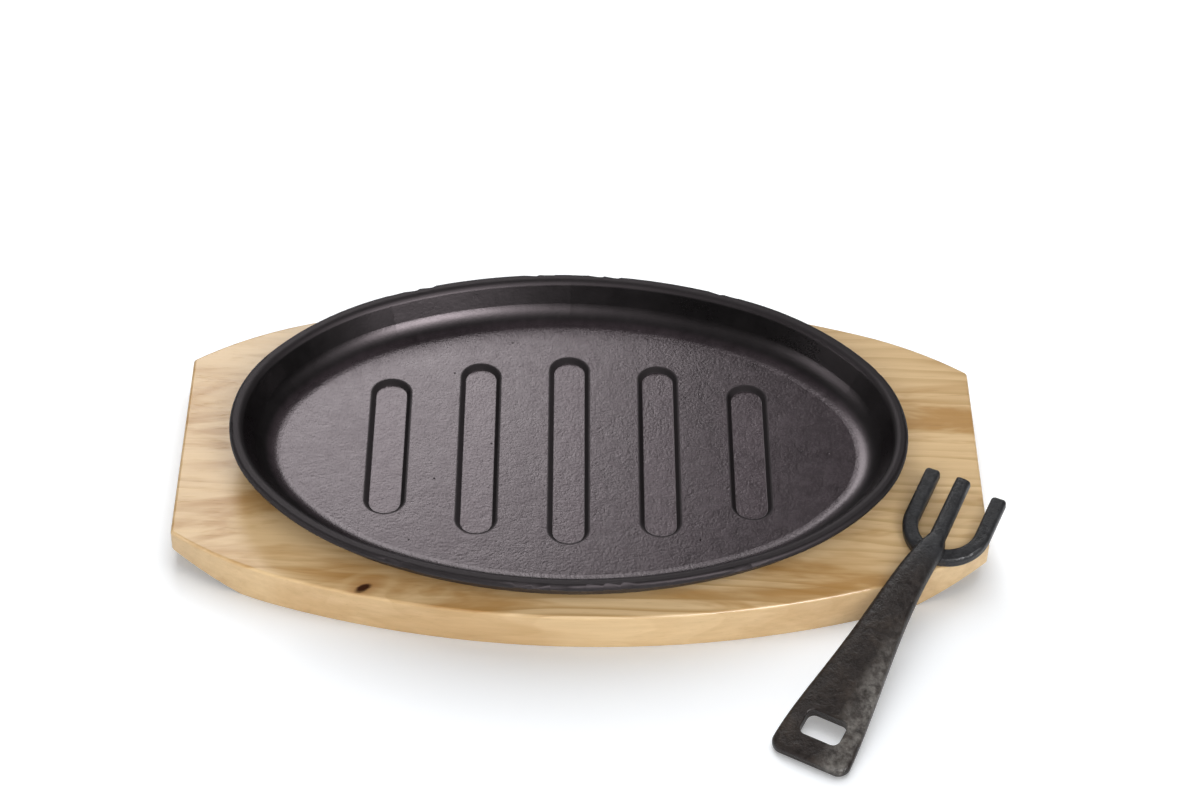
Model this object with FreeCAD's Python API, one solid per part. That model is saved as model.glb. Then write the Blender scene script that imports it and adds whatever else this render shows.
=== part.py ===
import FreeCAD, Part
import math
import os

# Serving pan: a cast iron oval pan on a wooden board, with a lift-off cast iron handle.
# Millimetres. X runs along the board to the right, Y away from the diner, Z up.
# The origin is the centre of the board's underside, on the table top.

# Board, from the pan that it carries: margins beyond the pan, and the ends' width as a share of the board's
BOARD_END_MARGIN = 25.5
BOARD_SIDE_MARGIN = 1.8
BOARD_END_SHARE = 0.5458
BOARD_SHOULDER_RADIUS = 49.2
BOARD_SHOULDER_TURN = 43.0
BOARD_SIDE_TURN = 71.4
BOARD_THICKNESS = 16.5
BOARD_END_THICKNESS = 9.0
BOARD_BEVEL_LENGTH = 28.0
BOARD_CORNER_RADIUS = 2.5
BOARD_EDGE_RADIUS = 1.2

# Routed seat in the board for the pan's foot
SEAT_DEPTH = 2.0
SEAT_PLAY = 7.2

# Pan
PAN_LENGTH = 270.0
PAN_WIDTH = 180.0
PAN_END_RADIUS = 63.5
PAN_END_TURN = 36.9
PAN_SIDE_TURN = 66.8
PAN_INSIDE_DEPTH = 14.5
PAN_FLOOR_THICKNESS = 4.5
PAN_WALL_THICKNESS = 3.4
PAN_WALL_DRAFT = 30.0
PAN_FLOOR_FILLET = 12.0
RIM_WIDTH = 4.7
RIM_HEIGHT = 3.4
RIM_OUTER_RADIUS = 1.65
RIM_INNER_RADIUS = 3.0
FOOT_HEIGHT = 3.0
FOOT_WIDTH = 5.0
FOOT_INSET = 23.0
PAN_SHIFT_ALONG = -5.1
PAN_SHIFT_ACROSS = -4.6

# Recessed slots in the pan's floor, long axis across the pan
SLOT_PITCH = 36.2
SLOT_WIDTH = 15.4
SLOT_DEPTH = 2.0
SLOT_WALL_RUN = 1.3
SLOT_LENGTH_MIDDLE = 106.2
SLOT_LENGTH_NEXT = 96.8
SLOT_LENGTH_OUTER = 76.4
SLOT_EDGE_RADIUS = 0.5
SLOT_LIP_RADIUS = 0.6

# Handle, measured along its own grip from the heel to the fork
GRIP_LENGTH = 88.6
GRIP_WIDTH = 32.4
GRIP_THICKNESS = 5.0
GRIP_CORNER_RADIUS = 5.0
HEEL_EDGE_RADIUS = 1.6
UNDER_RADIUS_SHARE = 0.24
SIDE_SHARE = 0.4
SHOULDER_SHARE = 0.62
TAPER_EASE = 0.5
NECK_WIDTH = 13.2
NECK_THICKNESS = 7.0
NECK_LIFT = 1.4
NECK_OFFSET = -1.0
HOLE_LENGTH = 16.2
HOLE_WIDTH = 11.0
HOLE_CORNER_RADIUS = 3.0
HOLE_FROM_HEEL = 9.6
HOLE_EDGE_RADIUS = 0.6

# Fork: a bowed bar with two prongs under the neck, and a middle prong that goes on from the neck.
# Places along the fork are measured from the bow.
BOW_PAST_GRIP = 18.0
BOW_RADIUS = 14.5
NECK_END_BEFORE_BOW = 1.2
NECK_END_WIDTH = 10.4
NECK_END_THICKNESS = 6.4
NECK_END_LIFT = 1.9
NECK_END_OFFSET = -2.6
MIDDLE_PRONG_FROM_BOW = 4.4
MIDDLE_PRONG_REACH = 32.4
MIDDLE_PRONG_ROOT_WIDTH = 6.6
MIDDLE_PRONG_TIP_WIDTH = 6.2
MIDDLE_PRONG_THICKNESS = 5.0
MIDDLE_PRONG_LIFT = 2.8
MIDDLE_PRONG_OFFSET = 0.4
SIDE_PRONG_LENGTH = 19.4
LEFT_PRONG_EXTRA = 3.6
BAR_WIDTH = 6.2
BAR_THICKNESS = 5.2
BAR_EDGE_RADIUS = 1.6
BAR_DROP = 1.6
FORK_OFFSET = -3.5
FORK_TURN = 3.4
WEB_LENGTH = 9.0
WEB_WIDTH = 5.6
WEB_CORNER_RADIUS = 2.0
WEB_BITE = 2.6

# Where the handle lies: its heel on the table, and the fork's bow on the board,
# in from the board's right end and in front of that end's near corner
REST_FROM_END = 23.7
REST_PAST_CORNER = 9.7
HANDLE_HEADING = 61.4

# How far cutting bodies run past what they cut
CUTTER_OVERRUN = 1.0


def vec(x, y, z=0.0):
    return FreeCAD.Vector(x, y, z)


def oval_arcs(outline):
    """Centre X and Y, radius, first and last angle of the three arcs of an oval's first quarter."""
    half_length, half_width, end_radius, end_turn, side_turn = outline
    first, second = math.radians(end_turn), math.radians(side_turn)
    # The shoulder and side radii that make the arcs meet in line, from two linear equations
    along_shoulder, along_side = math.cos(first) - math.cos(second), math.cos(second)
    across_shoulder, across_side = math.sin(second) - math.sin(first), 1 - math.sin(second)
    along = half_length - end_radius * (1 - math.cos(first))
    across = half_width - end_radius * math.sin(first)
    spread = along_shoulder * across_side - along_side * across_shoulder
    shoulder_radius = (along * across_side - along_side * across) / spread
    side_radius = (along_shoulder * across - across_shoulder * along) / spread
    end_x = half_length - end_radius
    step = shoulder_radius - end_radius
    shoulder_x, shoulder_y = end_x - step * math.cos(first), -step * math.sin(first)
    return [
        (end_x, 0, end_radius, 0, first),
        (shoulder_x, shoulder_y, shoulder_radius, first, second),
        (0, half_width - side_radius, side_radius, second, math.pi / 2),
    ]


def oval(outline, inset, height):
    """Closed level wire of an oval, moved in from its outline by an inset."""
    quarter = []
    for x, y, radius, first, last in oval_arcs(outline):
        angles = (first, (first + last) / 2, last)
        quarter.append([(x + (radius - inset) * math.cos(a), y + (radius - inset) * math.sin(a)) for a in angles])
    backwards = [arc[::-1] for arc in quarter[::-1]]
    edges = []
    for arcs, sx, sy in ((quarter, 1, 1), (backwards, -1, 1), (quarter, -1, -1), (backwards, 1, -1)):
        for arc in arcs:
            edges.append(Part.Arc(*[vec(sx * x, sy * y, height) for x, y in arc]).toShape())
    return Part.Wire(edges)


def oval_block(outline, inset, bottom, top):
    return Part.Face(oval(outline, inset, bottom)).extrude(vec(0, 0, top - bottom))


def rounded_outline(corners, place):
    """Closed wire through corners given as (u, v, radius); place turns u, v into a point."""
    edges, ends = [], []
    for index, (u, v, radius) in enumerate(corners):
        before, after = corners[index - 1], corners[(index + 1) % len(corners)]
        back, ahead = unit(before[0] - u, before[1] - v), unit(after[0] - u, after[1] - v)
        half_turn = math.acos(back[0] * ahead[0] + back[1] * ahead[1]) / 2
        trim = radius / math.tan(half_turn)
        start = (u + back[0] * trim, v + back[1] * trim)
        end = (u + ahead[0] * trim, v + ahead[1] * trim)
        ends.append((start, end))
        if radius > 0:
            inward = unit(back[0] + ahead[0], back[1] + ahead[1])
            bite = radius / math.sin(half_turn) - radius
            middle = (u + inward[0] * bite, v + inward[1] * bite)
            edges.append(Part.Arc(place(*start), place(*middle), place(*end)).toShape())
    for index, (start, end) in enumerate(ends):
        following = ends[(index + 1) % len(ends)][0]
        edges.append(Part.LineSegment(place(*end), place(*following)).toShape())
    return Part.Wire(Part.sortEdges(edges)[0])


def unit(u, v):
    length = math.hypot(u, v)
    return u / length, v / length


def edges_where(shape, test):
    """Edges whose box passes a test."""
    return [edge for edge in shape.Edges if test(edge.BoundBox)]


def level_edges(shape, height):
    """Edges that lie level at a height."""
    return edges_where(shape, lambda b: b.ZLength < 1e-4 and abs(b.ZMin - height) < 1e-4)


board_length = PAN_LENGTH + 2 * BOARD_END_MARGIN
board_width = PAN_WIDTH + 2 * BOARD_SIDE_MARGIN
board_end_width = BOARD_END_SHARE * board_width
bow_from_heel = GRIP_LENGTH + BOW_PAST_GRIP

# Heights above the table
seat_floor = BOARD_THICKNESS - SEAT_DEPTH
pan_underside = seat_floor + FOOT_HEIGHT
pan_floor = pan_underside + PAN_FLOOR_THICKNESS
pan_rim_top = pan_floor + PAN_INSIDE_DEPTH
draft = math.radians(PAN_WALL_DRAFT)
pan_outline = (PAN_LENGTH / 2, PAN_WIDTH / 2, PAN_END_RADIUS, PAN_END_TURN, PAN_SIDE_TURN)
pan_middle_inset = FOOT_INSET + 2 * FOOT_WIDTH


def slot_lengths():
    return [SLOT_LENGTH_OUTER, SLOT_LENGTH_NEXT, SLOT_LENGTH_MIDDLE, SLOT_LENGTH_NEXT, SLOT_LENGTH_OUTER]


def stadium(width, length, height):
    """Closed wire of a slot's outline: two straight sides along Y and round ends."""
    r, s = width / 2, (length - width) / 2
    right = Part.LineSegment(vec(r, -s, height), vec(r, s, height)).toShape()
    far = Part.Arc(vec(r, s, height), vec(0, s + r, height), vec(-r, s, height)).toShape()
    left = Part.LineSegment(vec(-r, s, height), vec(-r, -s, height)).toShape()
    near = Part.Arc(vec(-r, -s, height), vec(0, -s - r, height), vec(r, -s, height)).toShape()
    return Part.Wire([right, far, left, near])


def slot_cutter(length):
    """Tapered slot with its top at height 0, wider towards the top."""
    slope = SLOT_WALL_RUN / SLOT_DEPTH
    bottom = stadium(SLOT_WIDTH - 2 * SLOT_WALL_RUN, length - 2 * SLOT_WALL_RUN, -SLOT_DEPTH)
    widening = 2 * CUTTER_OVERRUN * slope
    top = stadium(SLOT_WIDTH + widening, length + widening, CUTTER_OVERRUN)
    cutter = Part.makeLoft([bottom, top], True, True)
    return cutter.makeFillet(SLOT_EDGE_RADIUS, level_edges(cutter, -SLOT_DEPTH))


def pan_profile():
    """Corners of the pan's wall, rim and foot as (inset, height, radius), seen in section."""
    slope = math.tan(draft)
    rim_bottom = pan_rim_top - RIM_HEIGHT
    wall_in = RIM_WIDTH + RIM_HEIGHT * slope
    wall_out = wall_in - PAN_WALL_THICKNESS / math.cos(draft)
    low_out = wall_out + (rim_bottom - pan_underside) * slope
    low_in = RIM_WIDTH + PAN_INSIDE_DEPTH * slope
    return [
        (pan_middle_inset, pan_underside, 0),
        (FOOT_INSET + FOOT_WIDTH, pan_underside, 0),
        (FOOT_INSET + FOOT_WIDTH, seat_floor, 0),
        (FOOT_INSET, seat_floor, 0),
        (FOOT_INSET, pan_underside, 0),
        (low_out, pan_underside, PAN_FLOOR_FILLET + PAN_WALL_THICKNESS),
        (wall_out, rim_bottom, 0),
        (0, rim_bottom, RIM_OUTER_RADIUS),
        (0, pan_rim_top, RIM_OUTER_RADIUS),
        (RIM_WIDTH, pan_rim_top, RIM_INNER_RADIUS),
        (low_in, pan_floor, PAN_FLOOR_FILLET),
        (pan_middle_inset, pan_floor, 0),
    ]


def make_pan():
    half_length = PAN_LENGTH / 2
    section = rounded_outline(pan_profile(), lambda inset, height: vec(half_length - inset, 0, height))
    wall = oval(pan_outline, 0, pan_rim_top).makePipeShell([section], True, False)
    middle = oval_block(pan_outline, pan_middle_inset, pan_underside, pan_floor)
    body = wall.fuse(middle)

    lengths = slot_lengths()
    middle_slot = len(lengths) // 2
    for index, length in enumerate(lengths):
        cutter = slot_cutter(length)
        cutter.translate(vec((index - middle_slot) * SLOT_PITCH, 0, pan_floor))
        body = body.cut(cutter)
    body = body.removeSplitter()
    body = body.makeFillet(SLOT_LIP_RADIUS, slot_rims(body))
    body.translate(vec(PAN_SHIFT_ALONG, PAN_SHIFT_ACROSS, 0))
    return body


def slot_rims(body):
    """Upper edges of the slots, where they meet the pan's floor."""
    reach = len(slot_lengths()) * SLOT_PITCH / 2
    return edges_where(body, lambda b: b.ZLength < 1e-4 and abs(b.ZMin - pan_floor) < 1e-4
                       and b.XLength < SLOT_WIDTH + 0.1 and max(-b.XMin, b.XMax) < reach)


def make_board():
    half_length, half_width = board_length / 2, board_width / 2
    # The long sides are arcs of an oval that runs on past the straight ends
    oval_reach = half_length / math.sqrt(1 - BOARD_END_SHARE ** 2)
    outline = (oval_reach, half_width, BOARD_SHOULDER_RADIUS, BOARD_SHOULDER_TURN, BOARD_SIDE_TURN)
    board = oval_block(outline, 0, 0, BOARD_THICKNESS)
    blank = Part.makeBox(board_length, board_width + 2 * CUTTER_OVERRUN, BOARD_THICKNESS)
    blank.translate(vec(-half_length, -half_width - CUTTER_OVERRUN, 0))
    board = board.common(blank)
    corners = edges_where(board, lambda b: b.ZLength > BOARD_THICKNESS - 1e-3 and b.YLength < 1e-3)
    board = board.makeFillet(BOARD_CORNER_RADIUS, corners)

    for side in (-1, 1):
        board = board.cut(end_bevel(side))
    upper = level_edges(board, BOARD_THICKNESS)
    board = board.makeFillet(BOARD_EDGE_RADIUS, upper)

    return board.cut(oval_block(pan_outline, FOOT_INSET - SEAT_PLAY, seat_floor, BOARD_THICKNESS))


def end_bevel(side):
    """Wedge taken off the underside of one end, so fingers get under the board."""
    half_length, half_width = board_length / 2, board_width / 2
    rise = BOARD_THICKNESS - BOARD_END_THICKNESS
    slope = rise / BOARD_BEVEL_LENGTH
    inner = half_length - BOARD_BEVEL_LENGTH
    outer = half_length + CUTTER_OVERRUN
    points = [vec(side * inner, 0, 0), vec(side * outer, 0, rise + CUTTER_OVERRUN * slope)]
    points += [vec(side * outer, 0, -CUTTER_OVERRUN), vec(side * inner, 0, -CUTTER_OVERRUN)]
    points.append(points[0])
    wedge = Part.Face(Part.makePolygon(points)).extrude(vec(0, board_width, 0))
    wedge.translate(vec(0, -half_width, 0))
    return wedge


def grip_section(along, half_width, under, thickness, offset):
    """Closed wire across the handle: flat underside, short sides and a cast crown."""
    r = thickness * UNDER_RADIUS_SHARE
    bulge = r * (1 - math.sqrt(0.5))
    side = under + thickness * SIDE_SHARE
    crown = under + thickness
    shoulder = half_width * SHOULDER_SHARE
    poles = [vec(along, half_width, side), vec(along, half_width, crown), vec(along, shoulder, crown)]
    poles += [vec(along, 0, crown)]
    poles += [vec(along, -pole.y, pole.z) for pole in reversed(poles[:-1])]
    top = Part.BezierCurve()
    top.setPoles(poles)
    left_foot, right_foot = vec(along, half_width, under + r), vec(along, -half_width, under + r)
    left_low, right_low = vec(along, half_width - r, under), vec(along, r - half_width, under)
    left_mid = vec(along, half_width - bulge, under + bulge)
    right_mid = vec(along, bulge - half_width, under + bulge)
    edges = [
        top.toShape(),
        Part.LineSegment(poles[-1], right_foot).toShape(),
        Part.Arc(right_foot, right_mid, right_low).toShape(),
        Part.LineSegment(right_low, left_low).toShape(),
        Part.Arc(left_low, left_mid, left_foot).toShape(),
        Part.LineSegment(left_foot, poles[0]).toShape(),
    ]
    wire = Part.Wire(edges)
    wire.translate(vec(0, offset, 0))
    return wire


def eased(start, end, share):
    """Value between two sizes, part straight and part eased at both ends."""
    smooth = (1 - math.cos(math.pi * share)) / 2
    return start + (end - start) * (share + TAPER_EASE * (smooth - share))


def grip_station(along):
    """Half width, underside height, thickness and offset at a place between heel and neck."""
    share = along / GRIP_LENGTH
    half_width = eased(GRIP_WIDTH, NECK_WIDTH, share) / 2
    under = NECK_LIFT * (1 - math.cos(math.pi * share)) / 2
    offset = NECK_OFFSET * share ** 2
    return half_width, under, eased(GRIP_THICKNESS, NECK_THICKNESS, share), offset


def heel_wires():
    """Sections that round the heel off, in plan and in its thickness."""
    wires = []
    half_width, under, thickness, offset = grip_station(GRIP_CORNER_RADIUS)
    spans = 3
    for step in range(spans + 1):
        turn = math.pi / 2 * step / spans
        along = GRIP_CORNER_RADIUS * (1 - math.cos(turn))
        side_inset = GRIP_CORNER_RADIUS * (1 - math.sin(turn))
        left_over = max(0.0, 1 - along / HEEL_EDGE_RADIUS)
        edge_inset = HEEL_EDGE_RADIUS * (1 - math.sqrt(1 - left_over ** 2))
        low, high = under + edge_inset, thickness - 2 * edge_inset
        wires.append(grip_section(along, half_width - side_inset, low, high, offset))
    return wires


def grip_wires():
    """Sections of the grip and neck from behind the heel to over the bow."""
    wires = []
    spans = 3
    for step in range(spans + 1):
        along = GRIP_CORNER_RADIUS + (GRIP_LENGTH - GRIP_CORNER_RADIUS) * step / spans
        wires.append(grip_section(along, *grip_station(along)))
    neck_end = bow_from_heel - NECK_END_BEFORE_BOW
    wires.append(grip_section(neck_end, NECK_END_WIDTH / 2, NECK_END_LIFT, NECK_END_THICKNESS, NECK_END_OFFSET))
    return wires


def prong_wire(from_bow, width):
    """Section of the middle prong at a distance past the bow."""
    along = bow_from_heel + from_bow
    return grip_section(along, width / 2, MIDDLE_PRONG_LIFT, MIDDLE_PRONG_THICKNESS, middle_offset(along))


def middle_offset(along):
    """Sideways place of the middle prong's centre line."""
    return FORK_OFFSET + MIDDLE_PRONG_OFFSET + (along - bow_from_heel) * math.tan(math.radians(FORK_TURN))


def make_grip():
    shaft_wires = grip_wires()
    root = prong_wire(MIDDLE_PRONG_FROM_BOW, MIDDLE_PRONG_ROOT_WIDTH)
    tip = prong_wire(MIDDLE_PRONG_REACH, MIDDLE_PRONG_TIP_WIDTH)
    heel = Part.makeLoft(heel_wires(), True, False)
    shaft = Part.makeLoft(shaft_wires, True, False)
    saddle = Part.makeLoft([shaft_wires[-1], root], True, True)
    prong = Part.makeLoft([root, tip], True, True)
    return heel.fuse([shaft, saddle, prong])


def rounded_rectangle(length, width, radius, height, centre):
    """Closed level wire with rounded corners, length along X."""
    a, b = length / 2, width / 2
    corners = [(a, b, radius), (-a, b, radius), (-a, -b, radius), (a, -b, radius)]
    return rounded_outline(corners, lambda x, y: centre + vec(x, y, height))


def make_bar():
    """Bowed bar with the two outer prongs, level at height 0, its bow's lowest point at X 0."""
    right_reach = BOW_RADIUS + SIDE_PRONG_LENGTH
    left_reach = right_reach + LEFT_PRONG_EXTRA
    left_tip, left_root = vec(left_reach, BOW_RADIUS), vec(BOW_RADIUS, BOW_RADIUS)
    right_tip, right_root = vec(right_reach, -BOW_RADIUS), vec(BOW_RADIUS, -BOW_RADIUS)
    path = Part.Wire([
        Part.LineSegment(left_tip, left_root).toShape(),
        Part.Arc(left_root, vec(0, 0), right_root).toShape(),
        Part.LineSegment(right_root, right_tip).toShape(),
    ])
    section = rounded_rectangle(BAR_WIDTH, BAR_THICKNESS, BAR_EDGE_RADIUS, 0, vec(0, 0, 0))
    section.rotate(vec(0, 0, 0), vec(0, 0, 1), 90)
    section.rotate(vec(0, 0, 0), vec(0, 1, 0), 90)
    section.translate(left_tip)
    bar = path.makePipeShell([section], True, False)
    tips = edges_where(bar, lambda b: b.XLength < 1e-4 and b.XMax > right_reach - 1e-3)
    return bar.makeFillet(BAR_EDGE_RADIUS, tips)


def make_handle():
    """Whole handle in its own frame: heel at X 0, grip along X, underside at height 0."""
    grip = make_grip()
    hole = rounded_rectangle(HOLE_WIDTH, HOLE_LENGTH, HOLE_CORNER_RADIUS, -CUTTER_OVERRUN,
                             vec(HOLE_FROM_HEEL + HOLE_WIDTH / 2, 0, 0))
    grip = grip.cut(Part.Face(hole).extrude(vec(0, 0, GRIP_THICKNESS + NECK_THICKNESS)))
    grip = grip.makeFillet(HOLE_EDGE_RADIUS, hole_edges(grip))

    bar = make_bar()
    bar.rotate(vec(0, 0, 0), vec(0, 0, 1), FORK_TURN)
    bar.translate(vec(bow_from_heel, FORK_OFFSET, -BAR_DROP))
    web_outline = rounded_rectangle(WEB_LENGTH, WEB_WIDTH, WEB_CORNER_RADIUS, -BAR_DROP,
                                    vec(bow_from_heel + WEB_LENGTH / 4, middle_offset(bow_from_heel), 0))
    web = Part.Face(web_outline).extrude(vec(0, 0, BAR_DROP + NECK_LIFT + WEB_BITE))
    return grip.fuse([bar, web])


def hole_edges(grip):
    """Upper and lower rim of the hanging hole."""
    start, end = HOLE_FROM_HEEL - 0.01, HOLE_FROM_HEEL + HOLE_WIDTH + 0.01
    reach = HOLE_LENGTH / 2 + 0.01
    slack = GRIP_THICKNESS / 4
    return edges_where(grip, lambda b: b.XMin > start and b.XMax < end and b.YMax < reach
                       and b.YMin > -reach and b.ZLength < slack)


def bow_touch():
    """Centre of the rounded lower edge with which the fork's bow rests on the board."""
    reach = BOW_RADIUS + BAR_WIDTH / 2 - BAR_EDGE_RADIUS
    along = bow_from_heel + BOW_RADIUS * math.cos(math.radians(FORK_TURN)) - reach
    return vec(along, FORK_OFFSET, BAR_EDGE_RADIUS - BAR_DROP - BAR_THICKNESS / 2)


def lying_pitch():
    """Angle at which the heel touches the table and the bow of the fork the board."""
    touch = bow_touch()
    along, up = touch.x - HEEL_EDGE_RADIUS, touch.z - HEEL_EDGE_RADIUS
    rise = BOARD_THICKNESS + BAR_EDGE_RADIUS - HEEL_EDGE_RADIUS
    return math.asin(rise / math.hypot(along, up)) - math.atan2(up, along)


def lay_down(handle):
    """Turn the handle to where it lies, leaning on the board's front right corner."""
    pitch = lying_pitch()
    tilt = FreeCAD.Rotation(vec(0, 1, 0), -math.degrees(pitch))
    turn = FreeCAD.Rotation(vec(0, 0, 1), HANDLE_HEADING).multiply(tilt)
    touch = turn.multVec(bow_touch())
    heel_x = board_length / 2 - REST_FROM_END - touch.x
    heel_y = -board_end_width / 2 - REST_PAST_CORNER - touch.y
    heel_drop = HEEL_EDGE_RADIUS * (math.sin(pitch) + math.cos(pitch) - 1)
    handle.Placement = FreeCAD.Placement(vec(heel_x, heel_y, -heel_drop), turn)
    return handle


os.makedirs("parts", exist_ok=True)
nodes = {
    "oval_pan": make_pan(),
    "wooden_board": make_board(),
    "lifting_handle": lay_down(make_handle()),
}
for name, shape in nodes.items():
    shape.exportStep("parts/" + name + ".step")
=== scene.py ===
import math

import bmesh
import bpy
from bpy.props import FloatProperty, FloatVectorProperty, PointerProperty
from mathutils import Matrix, Vector


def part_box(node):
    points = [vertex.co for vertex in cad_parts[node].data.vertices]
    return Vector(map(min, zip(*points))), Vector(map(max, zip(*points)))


bl_info = {
    "name": "Serving pan with board and handle",
    "version": (1, 0, 0),
    "blender": (4, 5, 0),
    "location": "3D View > Sidebar > Serving pan",
    "description": "Finishes for an oval iron pan, its wooden board and its lift-off handle, with a studio",
    "category": "Object",
}

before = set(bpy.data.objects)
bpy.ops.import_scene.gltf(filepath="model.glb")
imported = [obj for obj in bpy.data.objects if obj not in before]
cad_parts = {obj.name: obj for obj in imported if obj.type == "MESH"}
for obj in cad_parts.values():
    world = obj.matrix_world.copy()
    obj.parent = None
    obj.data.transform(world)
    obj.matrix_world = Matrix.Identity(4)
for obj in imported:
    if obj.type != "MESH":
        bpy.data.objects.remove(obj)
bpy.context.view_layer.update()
MM = 0.001

# The materials measure in millimetres. A fade is two values: where a finish starts, and where it is full.
PAN_LOW, PAN_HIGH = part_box("oval_pan")
PAN_MIDDLE = (PAN_LOW + PAN_HIGH) / 2 / MM
PAN_TOP = PAN_HIGH.z / MM
PAN_FLOOR_RISE = 7.5
PAN_FLOOR = PAN_LOW.z / MM + PAN_FLOOR_RISE
BOARD_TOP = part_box("wooden_board")[1].z / MM
# Refraction of oil and varnish, which gives all three pieces their gloss
COAT_IOR = 1.5

# Pan: fades by height
FLOOR_HEIGHT_FADE = (PAN_FLOOR + 2.5, PAN_FLOOR + 1.0)
POLISH_HEIGHT_FADE = (PAN_FLOOR + 3.5, PAN_FLOOR + 6.5)
LIP_HEIGHT_FADE = (PAN_TOP - 2.0, PAN_TOP - 1.1)
LOWEST_FLOOR_FINISH = PAN_FLOOR - 3.0
# Pan: fades by how far a face looks up, or outwards, with 1 for straight
FLOOR_FACING_FADE = (0.80, 0.985)
FLAT_FACING_FADE = (0.975, 0.9995)
OUTER_FACING_FADE = (0.05, 0.35)
# How much less an oval's outward direction counts lengthwise than crosswise
OVAL_SHAPE = 0.45
# The slots in the pan's floor: pitch, half width, and half length from the middle slot outwards
SLOT_PITCH = 36.2
SLOT_HALF_WIDTH = 7.7
SLOT_HALF_LENGTHS = (53.1, 48.4, 38.2)
# Fades by the distance from a slot's edge, which is negative inside; painted shade darkens the floor along
# each slot's edge, a little inside it
SLOT_FLOOR_FADE = (-0.8, -2.2)
SLOT_SHADE_FADE = (1.45, 0.65)
SLOT_SHADE_INSET = 0.35
PAN_GLOSS_TINT = (1.0, 0.86, 0.92, 1.0)

# Board: the line round which the growth rings run, where it leaves the board's top, and its turn
RING_LINE_PLACE = (140.0, 42.0)
RING_LINE_TURN = (0.0, math.radians(-6.0), math.radians(2.0))
# How far the rings stray over the whole board and more closely, and how far they swerve round the knot
RING_SWAY = 22.0
RING_UNEVENNESS = 14.0
KNOT_SWERVE = 7.0
KNOT_SWERVE_FADE = (20.0, 1.0)
# The late wood of a ring as shares of its width: it darkens slowly and ends sharply
LATE_WOOD_FADE = (0.35, 0.90)
LATE_WOOD_END_FADE = (1.0, 0.92)
# The knot in the board's top: place, turn, and what a millimetre counts lengthwise, crosswise and downwards
KNOT_PLACE = (-83.8, -78.0)
KNOT_TURN = math.radians(-34.0)
KNOT_STRETCH = (0.50, 1.0, 0.35)
KNOT_HEART_FADE = (2.3, 1.0)
KNOT_HALO_FADE = (5.6, 1.4)
PALE_RING_INNER_FADE = (4.6, 6.2)
PALE_RING_OUTER_FADE = (8.6, 6.8)
# Painted shade: redder ground in the board's top along the pan's front rim, where the pan shades it: middle,
# and reach across the grain
SHADED_WARM_PLACES = ((-46.0, -80.0, 28.0), (98.0, -57.0, 22.0), (-98.0, -70.0, 14.0))
SHADED_WARM_STRETCH = (0.40, 1.0, 0.5)
BOARD_TOP_FACING_FADE = (0.5, 0.95)

# Handle: the heel's middle, the grip's heading in degrees, and fades along and across the grip from there, for
# the fork and for the painted sheen
HANDLE_HEEL = (84.2, -149.0)
HANDLE_HEADING = 61.4
FORK_FADE = (82.0, 102.0)
PAINTED_SHEEN_ALONG_FADE = (72.0, 35.0)
PAINTED_SHEEN_LEFT_FADE = (2.0, 9.0)
PAINTED_SHEEN_RIGHT_FADE = (15.5, 13.5)


def colour_property(name, description, default):
    return FloatVectorProperty(name=name, description=description, subtype="COLOR", size=3,
                               min=0.0, max=1.0, default=default)


def share_property(name, description, default):
    return FloatProperty(name=name, description=description, subtype="FACTOR",
                         min=0.0, max=1.0, default=default)


def length_property(name, description, default, highest):
    return FloatProperty(name=name, description=description, subtype="DISTANCE", unit="LENGTH",
                         min=0.0, max=highest, default=default)


def power_property(name, description, default):
    return FloatProperty(name=name, description=description, unit="POWER",
                         min=0.0, max=500.0, default=default)


def strength_property(name, description, default):
    return FloatProperty(name=name, description=description, min=0.0, max=2.0, default=default)


class PanFinish(bpy.types.PropertyGroup):
    """Colours and surface of the seasoned iron pan."""
    floor_colour: colour_property("Floor colour", "Dry purplish grey of the cooking floor",
                                  (0.028, 0.0215, 0.0245))
    wall_colour: colour_property("Wall colour", "Oiled black of the wall, rim and underside",
                                 (0.0050, 0.0047, 0.0047))
    floor_roughness: share_property("Floor roughness", "How matt the cooking floor is", 0.26)
    wall_roughness: share_property("Wall roughness", "How matt the inner wall is", 0.34)
    lip_roughness: share_property("Lip roughness", "How matt the lip and the outer wall are", 0.57)
    grain_depth: length_property("Grain depth", "Depth of the cast skin's fine grain", 0.00008, 0.001)
    pit_depth: length_property("Pit depth", "Depth of the floor's small pits", 0.00015, 0.001)


class BoardFinish(bpy.types.PropertyGroup):
    """Colours and surface of the varnished wooden board."""
    early_colour: colour_property("Early wood", "Pale wood between the growth rings", (0.70, 0.492, 0.262))
    late_colour: colour_property("Late wood", "Darker lines of the growth rings", (0.455, 0.265, 0.095))
    # The blush colour also paints the redder shade along the pan's front rim.
    blush_colour: colour_property("Blush", "Redder patches along the grain", (0.44, 0.235, 0.072))
    halo_colour: colour_property("Halo", "Red-brown wood round the knot", (0.36, 0.165, 0.050))
    knot_colour: colour_property("Knot", "Heart of the small knot", (0.045, 0.014, 0.005))
    roughness: share_property("Varnish roughness", "How matt the varnish is", 0.34)
    ring_gap: length_property("Ring gap", "Distance between growth rings", 0.0056, 0.02)
    pore_depth: length_property("Pore depth", "Depth of the open pores", 0.00003, 0.001)


class HandleFinish(bpy.types.PropertyGroup):
    """Colours and surface of the rough iron handle."""
    grip_colour: colour_property("Grip colour", "Brown black of the grip", (0.0150, 0.0105, 0.0090))
    rub_colour: colour_property("Rubbed colour", "Browner patches where the grip is held",
                                (0.026, 0.0185, 0.0145))
    # Painted sheen: a grey highlight painted on the grip's right side, standing in for light on its crown
    painted_sheen_colour: colour_property("Scuffed colour", "Greyer iron where the grip's right side is scuffed",
                                  (0.118, 0.108, 0.098))
    fork_colour: colour_property("Fork colour", "Blue black of the prongs", (0.0165, 0.0165, 0.0185))
    roughness: share_property("Handle roughness", "How matt the handle is", 0.42)
    skin_depth: length_property("Skin depth", "Depth of the rough cast skin", 0.00034, 0.001)


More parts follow.
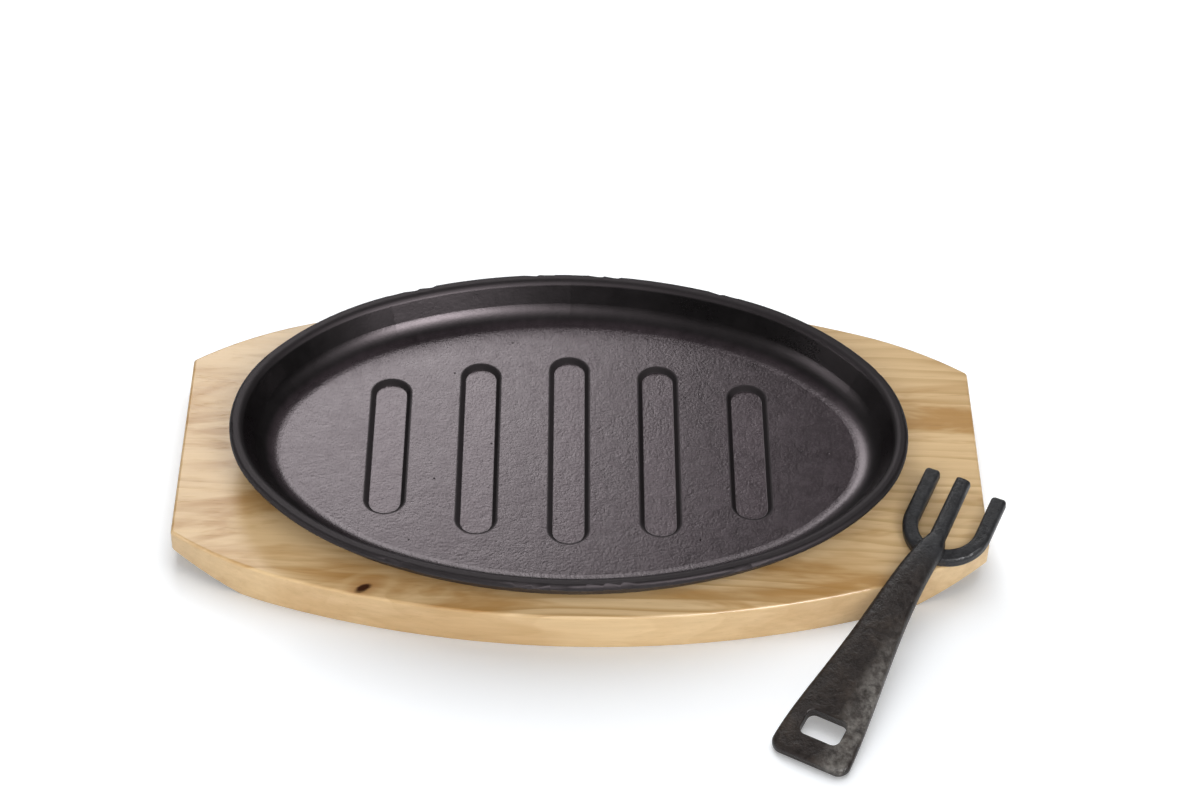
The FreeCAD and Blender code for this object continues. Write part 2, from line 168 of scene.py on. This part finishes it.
class StudioSettings(bpy.types.PropertyGroup):
    """Lamps, floor and camera."""
    key_shine: power_property("Key shine", "Shine of the softbox behind the pan, a little to the left", 7.1)
    key_power: power_property("Key light", "Plain light from the same place", 5.0)
    rim_shine: power_property("Front right shine", "Streak on the far wall of the pan", 25.0)
    side_shine: power_property("Front left shine", "Fainter streak on the pan's far right wall", 5.0)
    fill_power: power_property("Fill light", "Broad plain light from the front, but not on the floor", 25.5)
    floor_power: power_property("Floor light", "Wide plain light from behind, for the floor alone", 20.0)
    grip_shine: power_property("Grip shine", "Streak on the right side of the handle alone", 4.0)
    top_power: power_property("Top light", "Wide plain light overhead", 3.0)
    ambient: strength_property("Room light", "Even light from all round", 0.20)
    floor_lift: strength_property("Floor lift", "White that the floor adds where it is seen or mirrored",
                                  0.28)
    floor_colour: colour_property("Floor", "Pale studio floor", (0.875, 0.90, 0.930))
    camera_distance: length_property("Camera distance", "From the lens to the point it looks at",
                                     1.2485, 10.0)


def put_node(tree, kind, inputs=None, **settings):
    """Adds a node; an input is a link where the value is a socket, and a number or colour otherwise."""
    node = tree.nodes.new(kind)
    for name, value in settings.items():
        setattr(node, name, value)
    for socket, value in (inputs or {}).items():
        target = node.inputs[socket]
        if isinstance(value, bpy.types.NodeSocket):
            tree.links.new(value, target)
        else:
            target.default_value = value
    return node


def calc(tree, operation, first, second=0.0, third=0.0):
    node = put_node(tree, "ShaderNodeMath", {0: first, 1: second, 2: third}, operation=operation)
    return node.outputs[0]


def times(tree, first, second):
    return calc(tree, "MULTIPLY", first, second)


def swung(tree, noise, amount, base):
    """Base that a noise about 0.5 takes up and down, by the amount over the noise's whole range."""
    return calc(tree, "MULTIPLY_ADD", calc(tree, "SUBTRACT", noise, 0.5), amount, base)


def factor_in(tree, mask, change):
    """1, and 1 plus the change where the mask is 1."""
    return calc(tree, "MULTIPLY_ADD", mask, change, 1.0)


def ramp_between(tree, value, low, high, out_low=0.0, out_high=1.0):
    """Smooth step of a value from one range to another."""
    node = put_node(tree, "ShaderNodeMapRange",
                    {"Value": value, "From Min": low, "From Max": high,
                     "To Min": out_low, "To Max": out_high},
                    interpolation_type="SMOOTHSTEP")
    return node.outputs["Result"]


def mix_colour(tree, share, first, second, blend_type="MIX"):
    node = put_node(tree, "ShaderNodeMix", data_type="RGBA", blend_type=blend_type)
    for index, value in ((0, share), (6, first), (7, second)):
        if isinstance(value, bpy.types.NodeSocket):
            tree.links.new(value, node.inputs[index])
        else:
            node.inputs[index].default_value = value
    return node.outputs[2]


def mix_number(tree, share, first, second):
    node = put_node(tree, "ShaderNodeMix", {0: share, 2: first, 3: second}, data_type="FLOAT")
    return node.outputs[0]


def toned(tree, colour, red, green, blue):
    """Colour with each channel multiplied by a number."""
    factors = put_node(tree, "ShaderNodeCombineColor", {0: red, 1: green, 2: blue}).outputs[0]
    return mix_colour(tree, 1.0, colour, factors, "MULTIPLY")


def millimetres(tree):
    """Object coordinates in millimetres."""
    place = put_node(tree, "ShaderNodeTexCoord").outputs["Object"]
    return put_node(tree, "ShaderNodeVectorMath", {0: place, "Scale": 1 / MM}, operation="SCALE").outputs[0]


def moved(tree, vector, shift=(0, 0, 0), turn=(0, 0, 0), stretch=(1, 1, 1)):
    """Place that is stretched, then turned, then shifted."""
    node = put_node(tree, "ShaderNodeMapping",
                    {"Vector": vector, "Location": shift, "Rotation": turn, "Scale": stretch},
                    vector_type="POINT")
    return node.outputs[0]


def part_of(tree, vector, index):
    """One of a vector's three parts."""
    return put_node(tree, "ShaderNodeSeparateXYZ", {0: vector}).outputs[index]


def length_of(tree, vector):
    return put_node(tree, "ShaderNodeVectorMath", {0: vector}, operation="LENGTH").outputs["Value"]


def way_along(tree, vector, heading):
    """How far a vector goes in a direction."""
    node = put_node(tree, "ShaderNodeVectorMath", {0: vector, 1: heading}, operation="DOT_PRODUCT")
    return node.outputs["Value"]


def surface_normal(tree):
    return put_node(tree, "ShaderNodeNewGeometry").outputs["Normal"]


def cloud(tree, vector, size, detail=2.0, roughness=0.5, distortion=0.0):
    """Noise whose patches are about as many millimetres across as the size says."""
    node = put_node(tree, "ShaderNodeTexNoise", {"Vector": vector, "Scale": 1 / size, "Detail": detail,
                                                 "Roughness": roughness, "Distortion": distortion})
    return node.outputs["Fac"]


def along_grain(tree, place, share, **noise):
    """Noise drawn out along the board, where a millimetre counts as only a share of one."""
    return cloud(tree, moved(tree, place, stretch=(share, 1.0, 1.0)), **noise)


def pits(tree, vector, spacing, radius, kept):
    """Scattered round pits: 1 in a pit's middle, 0 outside; kept is the share of the cells that have one."""
    node = put_node(tree, "ShaderNodeTexVoronoi",
                    {"Vector": vector, "Scale": 1 / spacing, "Randomness": 1.0})
    spot = ramp_between(tree, node.outputs["Distance"], radius / spacing, 0.0)
    chance = put_node(tree, "ShaderNodeSeparateColor", {0: node.outputs["Color"]}).outputs[0]
    return times(tree, spot, calc(tree, "LESS_THAN", chance, kept))


def bumped(tree, height, depth, normal=None):
    inputs = {"Height": height, "Distance": depth, "Strength": 1.0}
    if normal is not None:
        inputs["Normal"] = normal
    return put_node(tree, "ShaderNodeBump", inputs).outputs[0]


def new_material(name):
    material = bpy.data.materials.new(name)
    material.use_nodes = True
    tree = material.node_tree
    tree.nodes.clear()
    output = put_node(tree, "ShaderNodeOutputMaterial")
    return material, tree, output


def opaque(colour):
    return (*colour, 1.0)


def close_surface(tree, output, **inputs):
    """Ends a material with the main shader; keys are the shader's own socket names with _ for a space."""
    named = {key.replace("_", " "): value for key, value in inputs.items()}
    shader = put_node(tree, "ShaderNodeBsdfPrincipled", named)
    tree.links.new(shader.outputs[0], output.inputs["Surface"])


def slot_edge_way(tree, centred):
    """Level distance from the nearest slot's upper edge in millimetres, negative inside the slot."""
    lengthwise, crosswise = part_of(tree, centred, 0), part_of(tree, centred, 1)
    steps = calc(tree, "ROUND", calc(tree, "DIVIDE", lengthwise, SLOT_PITCH))
    across = calc(tree, "MULTIPLY_ADD", steps, -SLOT_PITCH, lengthwise)
    steps = calc(tree, "ABSOLUTE", steps)
    half = SLOT_HALF_LENGTHS[0]
    for index, length in enumerate(SLOT_HALF_LENGTHS[1:]):
        further = calc(tree, "GREATER_THAN", steps, index + 0.5)
        half = calc(tree, "MULTIPLY_ADD", further, length - SLOT_HALF_LENGTHS[index], half)
    past = calc(tree, "ABSOLUTE", crosswise)
    past = calc(tree, "SUBTRACT", past, calc(tree, "SUBTRACT", half, SLOT_HALF_WIDTH))
    past = calc(tree, "MAXIMUM", past, 0.0)
    corner = put_node(tree, "ShaderNodeCombineXYZ", {0: across, 1: past}).outputs[0]
    edge_way = calc(tree, "SUBTRACT", length_of(tree, corner), SLOT_HALF_WIDTH)
    no_slot = calc(tree, "GREATER_THAN", steps, len(SLOT_HALF_LENGTHS) - 0.5)
    return calc(tree, "MULTIPLY_ADD", no_slot, SLOT_PITCH, edge_way)


def iron_pan_material(finish):
    material, tree, output = new_material("seasoned_iron")
    place = millimetres(tree)
    height = part_of(tree, place, 2)
    normal = surface_normal(tree)
    upwards = part_of(tree, normal, 2)

    # The cooking floor with its slots, the lip, and the wall's outside
    centred = moved(tree, place, shift=(-PAN_MIDDLE.x, -PAN_MIDDLE.y, 0.0))
    outwards = moved(tree, centred, stretch=(OVAL_SHAPE, 1.0, 0.0))
    outwards = put_node(tree, "ShaderNodeVectorMath", {0: outwards}, operation="NORMALIZE").outputs[0]
    outside = ramp_between(tree, way_along(tree, outwards, normal), *OUTER_FACING_FADE)
    low = ramp_between(tree, height, *FLOOR_HEIGHT_FADE)
    inside = times(tree, ramp_between(tree, upwards, *FLOOR_FACING_FADE), low)
    inside = times(tree, inside, calc(tree, "GREATER_THAN", height, LOWEST_FLOOR_FINISH))
    lip = calc(tree, "MAXIMUM", ramp_between(tree, height, *LIP_HEIGHT_FADE), outside)
    slot_way = slot_edge_way(tree, centred)
    in_slot = times(tree, ramp_between(tree, slot_way, *SLOT_FLOOR_FADE), inside)
    # Painted shade: a dark line along each slot's edge, where its walls and ends lie in shade
    slot_shade_way = calc(tree, "ABSOLUTE", calc(tree, "ADD", slot_way, SLOT_SHADE_INSET))
    painted_slot_shade = times(tree, ramp_between(tree, slot_shade_way, *SLOT_SHADE_FADE), low)

    patches = cloud(tree, place, size=34.0, detail=4.0, roughness=0.62, distortion=0.3)
    mottle = cloud(tree, place, size=5.0, detail=4.0, roughness=0.65)
    grain = cloud(tree, place, size=1.1, detail=3.0, roughness=0.6)
    wiped_place = moved(tree, place, stretch=(1.0, 0.06, 1.0))
    wiped = cloud(tree, wiped_place, size=2.2, detail=3.0, roughness=0.55)
    small_pits = times(tree, pits(tree, place, spacing=7.5, radius=0.55, kept=0.25), inside)

    tone = swung(tree, mottle, 1.1, 1.0)
    tone = swung(tree, patches, 1.1, tone)
    tone = swung(tree, wiped, 0.5, tone)
    tone = times(tree, tone, factor_in(tree, small_pits, -0.3))
    tone = times(tree, tone, factor_in(tree, in_slot, 0.45))
    base = mix_colour(tree, inside, opaque(finish.wall_colour), opaque(finish.floor_colour))
    # Painted shade: the floor takes the wall's black along the slots' edges
    base = mix_colour(tree, painted_slot_shade, base, opaque(finish.wall_colour))
    base = toned(tree, base, tone, tone, tone)

    # Roughness and skin vary less on the slopes, and next to not at all on the lip and outside
    flat = ramp_between(tree, upwards, *FLAT_FACING_FADE)
    polish = ramp_between(tree, height, *POLISH_HEIGHT_FADE, out_low=0.07, out_high=-0.05)
    wall_roughness = calc(tree, "ADD", polish, finish.wall_roughness)
    roughness = mix_number(tree, inside, wall_roughness, finish.floor_roughness)
    uneven = calc(tree, "MULTIPLY_ADD", grain, 0.14, -0.15)
    uneven = calc(tree, "ADD", times(tree, mottle, 0.16), uneven)
    roughness = calc(tree, "MULTIPLY_ADD", uneven, mix_number(tree, flat, 0.3, 1.0), roughness)
    roughness = calc(tree, "MULTIPLY_ADD", painted_slot_shade, 0.45, roughness)
    roughness = swung(tree, patches, 0.10, roughness)
    roughness = mix_number(tree, lip, roughness, finish.lip_roughness)
    relief = times(tree, mix_number(tree, flat, 0.35, 1.0), factor_in(tree, lip, -0.95))
    skin = bumped(tree, times(tree, grain, relief), finish.grain_depth)
    skin = bumped(tree, times(tree, mottle, relief), 1.3 * finish.grain_depth, skin)
    skin = bumped(tree, calc(tree, "SUBTRACT", 1.0, small_pits), finish.pit_depth, skin)
    close_surface(tree, output, Base_Color=base, Roughness=roughness, Normal=skin, IOR=COAT_IOR,
                  Specular_IOR_Level=0.5, Specular_Tint=PAN_GLOSS_TINT)
    return material


def knot_distance(tree, place):
    """Distance from the knot in millimetres, counted so that the knot is long and goes deep."""
    from_knot = moved(tree, place, shift=(-KNOT_PLACE[0], -KNOT_PLACE[1], -BOARD_TOP))
    from_knot = moved(tree, from_knot, turn=(0.0, 0.0, KNOT_TURN))
    return length_of(tree, moved(tree, from_knot, stretch=KNOT_STRETCH))


def late_wood(tree, place, upwards, knot_way, ring_gap):
    """Dark lines of growth rings, which run round a leaning line that leaves the top near its right end."""
    leaning = moved(tree, place, shift=(-RING_LINE_PLACE[0], -RING_LINE_PLACE[1], -BOARD_TOP))
    leaning = moved(tree, leaning, turn=RING_LINE_TURN)
    reach = length_of(tree, moved(tree, leaning, stretch=(0.0, 1.0, 1.0)))
    reach = swung(tree, along_grain(tree, place, 0.35, size=55.0), RING_SWAY, reach)
    reach = swung(tree, along_grain(tree, place, 0.12, size=16.0), RING_UNEVENNESS, reach)
    around_knot = ramp_between(tree, knot_way, *KNOT_SWERVE_FADE)
    reach = calc(tree, "MULTIPLY_ADD", around_knot, KNOT_SWERVE, reach)
    turns = calc(tree, "FRACT", calc(tree, "DIVIDE", reach, ring_gap / MM))
    late = ramp_between(tree, turns, *LATE_WOOD_FADE)
    late = times(tree, late, ramp_between(tree, turns, *LATE_WOOD_END_FADE))
    clearness = along_grain(tree, place, 0.10, size=26.0, detail=3.0, roughness=0.6)
    late = times(tree, late, ramp_between(tree, clearness, 0.38, 0.70, out_low=0.05, out_high=0.75))
    return times(tree, late, ramp_between(tree, upwards, 0.2, 0.8, out_low=0.25))


def redder_wood_and_shade(tree, place, on_top):
    """Redder patches along the grain, fainter on the board's sides; painted shade adds more of them in the
    warm places along the pan's front rim.
    """
    drifting = moved(tree, place, shift=(90.0, 40.0, 10.0), stretch=(0.22, 1.0, 1.0))
    blush_and_shade = cloud(tree, drifting, size=17.0, detail=4.0, roughness=0.6, distortion=0.6)
    for x, y, radius in SHADED_WARM_PLACES:
        from_middle = moved(tree, place, shift=(-x, -y, 0.0))
        shaded_warm_way = length_of(tree, moved(tree, from_middle, stretch=SHADED_WARM_STRETCH))
        # Painted shade: more redder patches near the pan's front rim, where it shades the board
        painted_warm_shade = ramp_between(tree, shaded_warm_way, radius, 0.3 * radius, out_high=0.14)
        blush_and_shade = calc(tree, "ADD", blush_and_shade, painted_warm_shade)
    return times(tree, ramp_between(tree, blush_and_shade, 0.48, 0.68), mix_number(tree, on_top, 0.30, 0.85))


def wood_material(finish):
    material, tree, output = new_material("varnished_wood")
    place = millimetres(tree)
    upwards = part_of(tree, surface_normal(tree), 2)
    on_top = ramp_between(tree, upwards, *BOARD_TOP_FACING_FADE)
    knot_way = knot_distance(tree, place)

    streaks = along_grain(tree, place, 0.035, size=2.4, detail=4.0, roughness=0.62)
    pores = along_grain(tree, place, 0.055, size=0.55)
    open_pores = ramp_between(tree, pores, 0.60, 0.74)
    broad = along_grain(tree, place, 0.40, size=48.0, detail=3.0, roughness=0.55)

    late = late_wood(tree, place, upwards, knot_way, finish.ring_gap)
    base = mix_colour(tree, late, opaque(finish.early_colour), opaque(finish.late_colour))
    # Redder patches along the grain, and painted shade along the pan's front rim
    base = mix_colour(tree, redder_wood_and_shade(tree, place, on_top), base, opaque(finish.blush_colour))
    tone = swung(tree, streaks, 0.30, 1.0)
    tone = swung(tree, broad, 0.42, tone)
    tone = calc(tree, "MULTIPLY_ADD", open_pores, -0.10, tone)
    base = toned(tree, base, tone, calc(tree, "POWER", tone, 1.25), calc(tree, "POWER", tone, 1.6))

    # The knot, with a red-brown halo and a pale ring round it
    ragged = swung(tree, streaks, 1.6, knot_way)
    heart = ramp_between(tree, ragged, *KNOT_HEART_FADE)
    halo = times(tree, ramp_between(tree, ragged, *KNOT_HALO_FADE, out_high=0.55), on_top)
    pale_ring = ramp_between(tree, ragged, *PALE_RING_INNER_FADE)
    pale_ring = times(tree, pale_ring, ramp_between(tree, ragged, *PALE_RING_OUTER_FADE))
    pale_ring = times(tree, pale_ring, times(tree, on_top, 0.22))
    base = mix_colour(tree, pale_ring, base, opaque(finish.early_colour))
    base = mix_colour(tree, halo, base, opaque(finish.halo_colour))
    base = mix_colour(tree, heart, base, opaque(finish.knot_colour))

    roughness = swung(tree, streaks, 0.12, finish.roughness)
    skin = bumped(tree, calc(tree, "SUBTRACT", 1.0, open_pores), finish.pore_depth)
    skin = bumped(tree, calc(tree, "SUBTRACT", 1.0, heart), 10 * finish.pore_depth, skin)
    close_surface(tree, output, Base_Color=base, Roughness=roughness, Normal=skin, IOR=COAT_IOR,
                  Specular_IOR_Level=0.56)
    return material


def iron_handle_material(finish):
    material, tree, output = new_material("rough_iron")
    place = millimetres(tree)
    heading = math.radians(HANDLE_HEADING)
    forward = (math.cos(heading), math.sin(heading), 0.0)
    rightward = (math.sin(heading), -math.cos(heading), 0.0)
    from_heel = moved(tree, place, shift=(-HANDLE_HEEL[0], -HANDLE_HEEL[1], 0.0))
    along = way_along(tree, from_heel, forward)
    across = way_along(tree, from_heel, rightward)
    fork = ramp_between(tree, along, *FORK_FADE)

    patches = cloud(tree, place, size=13.0, detail=4.0, roughness=0.65, distortion=0.5)
    mottle = cloud(tree, place, size=2.6, detail=4.0, roughness=0.65)
    grain = cloud(tree, place, size=0.9, detail=3.0, roughness=0.6)
    # Painted sheen: a grey highlight painted in a band on the grip's right side towards the heel, broken up by
    # a mottle
    sheen_mottle = cloud(tree, place, size=4.0, detail=4.0, roughness=0.7)
    rubbed = times(tree, ramp_between(tree, patches, 0.42, 0.66), calc(tree, "SUBTRACT", 1.0, fork))
    sheen_painted = ramp_between(tree, across, *PAINTED_SHEEN_LEFT_FADE)
    sheen_painted = times(tree, sheen_painted, ramp_between(tree, across, *PAINTED_SHEEN_RIGHT_FADE))
    sheen_painted = times(tree, sheen_painted, ramp_between(tree, along, *PAINTED_SHEEN_ALONG_FADE))
    sheen_painted = times(tree, sheen_painted, ramp_between(tree, sheen_mottle, 0.36, 0.66, out_low=0.15))

    base = mix_colour(tree, fork, opaque(finish.grip_colour), opaque(finish.fork_colour))
    base = mix_colour(tree, rubbed, base, opaque(finish.rub_colour))
    base = mix_colour(tree, sheen_painted, base, opaque(finish.painted_sheen_colour))
    tone = swung(tree, mottle, 2.0, 1.0)
    base = toned(tree, base, tone, tone, tone)
    roughness = swung(tree, mottle, 0.40, finish.roughness)
    skin = bumped(tree, grain, 0.5 * finish.skin_depth)
    skin = bumped(tree, mottle, finish.skin_depth, skin)
    skin = bumped(tree, patches, 2 * finish.skin_depth, skin)
    close_surface(tree, output, Base_Color=base, Roughness=roughness, Normal=skin, IOR=COAT_IOR,
                  Specular_IOR_Level=0.36)
    return material


def dress(node_name, material):
    """Gives a CAD node its finish."""
    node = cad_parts[node_name]
    node.data.materials.clear()
    node.data.materials.append(material)


class SERVINGPAN_OT_dress_pan(bpy.types.Operator):
    """Finish the oval pan in seasoned iron"""
    bl_idname = "servingpan.dress_pan"
    bl_label = "Finish the pan"

    def execute(self, context):
        dress("oval_pan", iron_pan_material(context.scene.serving_pan_iron))
        return {"FINISHED"}


class SERVINGPAN_OT_dress_board(bpy.types.Operator):
    """Finish the board in varnished wood"""
    bl_idname = "servingpan.dress_board"
    bl_label = "Finish the board"

    def execute(self, context):
        dress("wooden_board", wood_material(context.scene.serving_pan_wood))
        return {"FINISHED"}


class SERVINGPAN_OT_dress_handle(bpy.types.Operator):
    """Finish the lifting handle in rough iron"""
    bl_idname = "servingpan.dress_handle"
    bl_label = "Finish the handle"

    def execute(self, context):
        dress("lifting_handle", iron_handle_material(context.scene.serving_pan_handle))
        return {"FINISHED"}


# Studio: angles in degrees, azimuth from straight behind the pan towards its left, and lengths in metres
CAMERA_LENS = 91.65
CAMERA_SENSOR = 36.0
CAMERA_SIGHT = (0.05, 100.0)
CAMERA_ELEVATION = 43.31
CAMERA_YAW = 1.58
CAMERA_ROLL = 2.08
CAMERA_TARGET = (0.0075, 0.0258, 0.020)
KEY_LIGHT = {"azimuth": 11.5, "elevation": 39.0, "distance": 1.6, "width": 0.60, "height": 0.62}
RIM_LIGHT = {"azimuth": -148.0, "elevation": 38.0, "distance": 1.5, "width": 0.40, "height": 0.13}
SIDE_LIGHT = {"azimuth": 102.0, "elevation": 30.0, "distance": 1.5, "width": 0.50, "height": 0.36}
FILL_LIGHT = {"azimuth": 186.0, "elevation": 43.0, "distance": 1.6, "width": 1.5, "height": 0.9}
FLOOR_LIGHT = {"azimuth": -14.0, "elevation": 66.0, "distance": 1.6, "width": 1.5, "height": 1.4}
GRIP_LIGHT = {"azimuth": -34.0, "elevation": 46.0, "distance": 1.5, "width": 0.36, "height": 0.55}
TOP_LIGHT = {"azimuth": 180.0, "elevation": 84.0, "distance": 1.7, "width": 1.2, "height": 0.8}
# The dark lining round the pan, open behind it between two azimuths and two elevations
LINING_RADIUS = 2.4
LINING_OPEN = (-2.0, 30.0)
LINING_OPEN_HEIGHTS = (25.0, 50.0)
LINING_STEPS = 72
FLOOR_WIDTH = 30.0
FLOOR_GAP = 0.0001
# The floor's added white grows by this much over a range of millimetres from the middle
FLOOR_FURTHER_LIFT = 0.4
FLOOR_FURTHER_FADE = (200.0, 600.0)
WHITE = (1.0, 1.0, 1.0, 1.0)
BLACK_CLOTH = (0.004, 0.004, 0.004, 1.0)


def direction(azimuth, elevation):
    a, e = math.radians(azimuth), math.radians(elevation)
    return Vector((-math.sin(a) * math.cos(e), math.cos(a) * math.cos(e), math.sin(e)))


def facing_back(away):
    """Turn of a lamp or camera that looks back along a direction."""
    return (-away).to_track_quat("-Z", "Y").to_matrix().to_4x4()


def hang_softbox(name, place, power, shines=True, lights=True):
    """Softbox aimed at the pan's middle that shows in reflections, lights plainly, or both."""
    lamp = bpy.data.lights.new(name, "AREA")
    lamp.shape = "RECTANGLE"
    lamp.size, lamp.size_y = place["width"], place["height"]
    lamp.energy = power
    softbox = bpy.data.objects.new(name, lamp)
    away = direction(place["azimuth"], place["elevation"])
    softbox.matrix_world = Matrix.Translation(away * place["distance"]) @ facing_back(away)
    softbox.visible_glossy = shines
    softbox.visible_diffuse = lights
    bpy.context.scene.collection.objects.link(softbox)
    return softbox


def link_light(lamp, receiver, state):
    """Makes a lamp light only one object, or all but that one."""
    chosen = bpy.data.collections.new(lamp.name + "_receiver")
    chosen.objects.link(receiver)
    chosen.collection_objects[0].light_linking.link_state = state
    lamp.light_linking.receiver_collection = chosen


def seen_white(tree):
    """1 for rays from the camera, from gloss and through glass, 0 for the rest."""
    path = put_node(tree, "ShaderNodeLightPath")
    either = calc(tree, "MAXIMUM", path.outputs["Is Camera Ray"], path.outputs["Is Glossy Ray"])
    return calc(tree, "MAXIMUM", either, path.outputs["Is Transmission Ray"])


def lay_floor(settings):
    mesh = bpy.data.meshes.new("studio_floor")
    shape = bmesh.new()
    level = Matrix.Translation((0.0, 0.0, -FLOOR_GAP))
    bmesh.ops.create_grid(shape, x_segments=1, y_segments=1, size=FLOOR_WIDTH / 2, matrix=level)
    shape.to_mesh(mesh)
    shape.free()
    mesh.materials.append(floor_material(settings))
    floor = bpy.data.objects.new("studio_floor", mesh)
    bpy.context.scene.collection.objects.link(floor)
    return floor


def floor_material(settings):
    """White floor that keeps the shadow; seen from below it is clear."""
    material, tree, output = new_material("studio_floor")
    place = millimetres(tree)
    tone = ramp_between(tree, cloud(tree, place, size=3.0), 0.0, 1.0, out_low=0.985)
    colour = toned(tree, opaque(settings.floor_colour), tone, tone, tone)
    paint = put_node(tree, "ShaderNodeBsdfDiffuse", {"Color": colour})
    further = ramp_between(tree, length_of(tree, place), *FLOOR_FURTHER_FADE, out_high=FLOOR_FURTHER_LIFT)
    lift = times(tree, seen_white(tree), calc(tree, "ADD", further, settings.floor_lift))
    glow = put_node(tree, "ShaderNodeEmission", {"Color": WHITE, "Strength": lift})
    both = put_node(tree, "ShaderNodeAddShader", {0: paint.outputs[0], 1: glow.outputs[0]})
    below = put_node(tree, "ShaderNodeNewGeometry").outputs["Backfacing"]
    clear = put_node(tree, "ShaderNodeBsdfTransparent")
    surface = put_node(tree, "ShaderNodeMixShader", {0: below, 1: both.outputs[0], 2: clear.outputs[0]})
    tree.links.new(surface.outputs[0], output.inputs["Surface"])
    return material


def hang_lining():
    """Dark dome for the iron to mirror, open behind the pan and hidden from camera, plain light and shadow."""
    mesh = bpy.data.meshes.new("dark_lining")
    shape = bmesh.new()
    bmesh.ops.create_uvsphere(shape, u_segments=LINING_STEPS, v_segments=LINING_STEPS // 2,
                              radius=LINING_RADIUS)
    unwanted = []
    for face in shape.faces:
        middle = face.calc_center_median()
        azimuth = math.degrees(math.atan2(-middle.x, middle.y))
        elevation = math.degrees(math.asin(middle.z / middle.length))
        behind = LINING_OPEN[0] < azimuth < LINING_OPEN[1]
        level = LINING_OPEN_HEIGHTS[0] < elevation < LINING_OPEN_HEIGHTS[1]
        if middle.z < 0 or (behind and level):
            unwanted.append(face)
    bmesh.ops.delete(shape, geom=unwanted, context="FACES")
    shape.to_mesh(mesh)
    shape.free()
    mesh.materials.append(lining_material())
    lining = bpy.data.objects.new("dark_lining", mesh)
    lining.visible_camera = False
    lining.visible_diffuse = False
    lining.visible_shadow = False
    bpy.context.scene.collection.objects.link(lining)


def lining_material():
    material, tree, output = new_material("dark_cloth")
    weave = cloud(tree, millimetres(tree), size=4.0)
    close_surface(tree, output, Base_Color=BLACK_CLOTH, Specular_IOR_Level=0.0,
                  Roughness=ramp_between(tree, weave, 0.0, 1.0, out_low=0.8))
    return material


def light_room(settings):
    """White room where it is seen or reflected, and a weaker even light from it otherwise."""
    world = bpy.data.worlds.new("studio_room")
    world.use_nodes = True
    tree = world.node_tree
    tree.nodes.clear()
    strength = mix_number(tree, seen_white(tree), settings.ambient, 1.0)
    background = put_node(tree, "ShaderNodeBackground", {"Color": WHITE, "Strength": strength})
    output = put_node(tree, "ShaderNodeOutputWorld")
    tree.links.new(background.outputs[0], output.inputs["Surface"])
    bpy.context.scene.world = world


def set_camera(settings):
    data = bpy.data.cameras.new("photo_camera")
    data.lens = CAMERA_LENS
    data.sensor_width = CAMERA_SENSOR
    data.clip_start, data.clip_end = CAMERA_SIGHT
    camera = bpy.data.objects.new("photo_camera", data)
    away = direction(180.0 - CAMERA_YAW, CAMERA_ELEVATION)
    place = Matrix.Translation(Vector(CAMERA_TARGET) + away * settings.camera_distance)
    roll = Matrix.Rotation(math.radians(CAMERA_ROLL), 4, "Z")
    camera.matrix_world = place @ facing_back(away) @ roll
    bpy.context.scene.collection.objects.link(camera)
    bpy.context.scene.camera = camera


class SERVINGPAN_OT_set_stage(bpy.types.Operator):
    """Set up the floor, the lamps, the room light and the camera"""
    bl_idname = "servingpan.set_stage"
    bl_label = "Set the stage"

    def execute(self, context):
        settings = context.scene.serving_pan_studio
        context.scene.view_settings.view_transform = "Standard"
        set_camera(settings)
        hang_softbox("key_shine", KEY_LIGHT, settings.key_shine, lights=False)
        hang_softbox("key_light", KEY_LIGHT, settings.key_power, shines=False)
        hang_softbox("front_right_shine", RIM_LIGHT, settings.rim_shine, lights=False)
        hang_softbox("front_left_shine", SIDE_LIGHT, settings.side_shine, lights=False)
        grip_shine = hang_softbox("grip_shine", GRIP_LIGHT, settings.grip_shine, lights=False)
        floor_light = hang_softbox("floor_light", FLOOR_LIGHT, settings.floor_power, shines=False)
        fill = hang_softbox("front_fill", FILL_LIGHT, settings.fill_power, shines=False)
        hang_softbox("overhead_light", TOP_LIGHT, settings.top_power, shines=False)
        light_room(settings)
        floor = lay_floor(settings)
        link_light(fill, floor, "EXCLUDE")
        link_light(floor_light, floor, "INCLUDE")
        link_light(grip_shine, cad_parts["lifting_handle"], "INCLUDE")
        hang_lining()
        return {"FINISHED"}


class SERVINGPAN_PT_panel(bpy.types.Panel):
    """Settings and steps of the serving pan"""
    bl_idname = "SERVINGPAN_PT_panel"
    bl_label = "Serving pan"
    bl_space_type = "VIEW_3D"
    bl_region_type = "UI"
    bl_category = "Serving pan"

    def draw(self, context):
        scene = context.scene
        for operator, group in STEPS:
            box = self.layout.box()
            box.operator(operator.bl_idname)
            settings = getattr(scene, group)
            for name in settings.bl_rna.properties.keys():
                if name not in ("rna_type", "name"):
                    box.prop(settings, name)


STEPS = (
    (SERVINGPAN_OT_dress_pan, "serving_pan_iron"),
    (SERVINGPAN_OT_dress_board, "serving_pan_wood"),
    (SERVINGPAN_OT_dress_handle, "serving_pan_handle"),
    (SERVINGPAN_OT_set_stage, "serving_pan_studio"),
)
GROUPS = (
    ("serving_pan_iron", PanFinish),
    ("serving_pan_wood", BoardFinish),
    ("serving_pan_handle", HandleFinish),
    ("serving_pan_studio", StudioSettings),
)
CLASSES = (
    *(group for name, group in GROUPS),
    *(operator for operator, group in STEPS),
    SERVINGPAN_PT_panel,
)


def register():
    for item in CLASSES:
        bpy.utils.register_class(item)
    for name, group in GROUPS:
        setattr(bpy.types.Scene, name, PointerProperty(type=group))


def unregister():
    for name, group in GROUPS:
        delattr(bpy.types.Scene, name)
    for item in reversed(CLASSES):
        bpy.utils.unregister_class(item)


def main():
    register()
    bpy.ops.servingpan.dress_pan()
    bpy.ops.servingpan.dress_board()
    bpy.ops.servingpan.dress_handle()
    bpy.ops.servingpan.set_stage()


if __name__ == "__main__":
    main()
